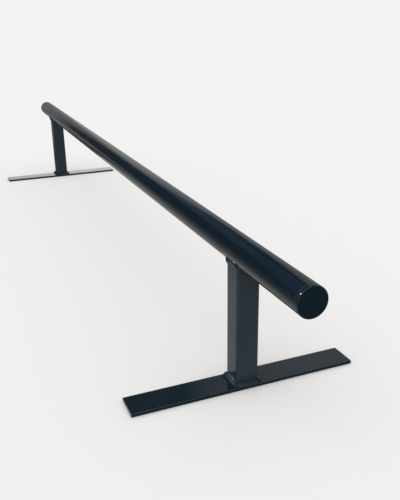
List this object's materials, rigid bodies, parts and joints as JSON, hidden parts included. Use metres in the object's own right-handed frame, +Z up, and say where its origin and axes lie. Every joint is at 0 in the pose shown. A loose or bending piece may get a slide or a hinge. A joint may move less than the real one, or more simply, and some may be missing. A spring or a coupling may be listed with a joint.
{
  "type": "skateboard grind rail",
  "caption": "Low free-standing grind rail: a round painted steel tube with plugged ends on square posts welded to flat cross feet.",
  "frame": {"origin": "on the ground under the middle of the rail, midway between the feet", "axes": "+X along the tube towards the right-hand end, +Y along the feet towards the back, +Z up"},
  "size_m": [2.032, 0.4064, 0.26],
  "materials": {
    "tube_paint": "gloss",
    "post_paint": "gloss",
    "foot_paint": "satin",
    "weld_paint": "gloss",
    "plug_plastic": "satin"
  },
  "bodies": {
    "root": {"rail_tube": "tube_paint", "end_plug_left": "plug_plastic", "end_plug_right": "plug_plastic", "post_left": "post_paint", "post_right": "post_paint", "foot_left": "foot_paint", "foot_right": "foot_paint", "foot_weld_left_front": "weld_paint", "foot_weld_left_outer": "weld_paint", "foot_weld_left_back": "weld_paint", "foot_weld_left_inner": "weld_paint", "foot_weld_right_front": "weld_paint", "foot_weld_right_outer": "weld_paint", "foot_weld_right_back": "weld_paint", "foot_weld_right_inner": "weld_paint", "tube_weld_left_front": "weld_paint", "tube_weld_left_outer": "weld_paint", "tube_weld_left_back": "weld_paint", "tube_weld_left_inner": "weld_paint", "tube_weld_right_front": "weld_paint", "tube_weld_right_outer": "weld_paint", "tube_weld_right_back": "weld_paint", "tube_weld_right_inner": "weld_paint"}
  },
  "joints": []
}
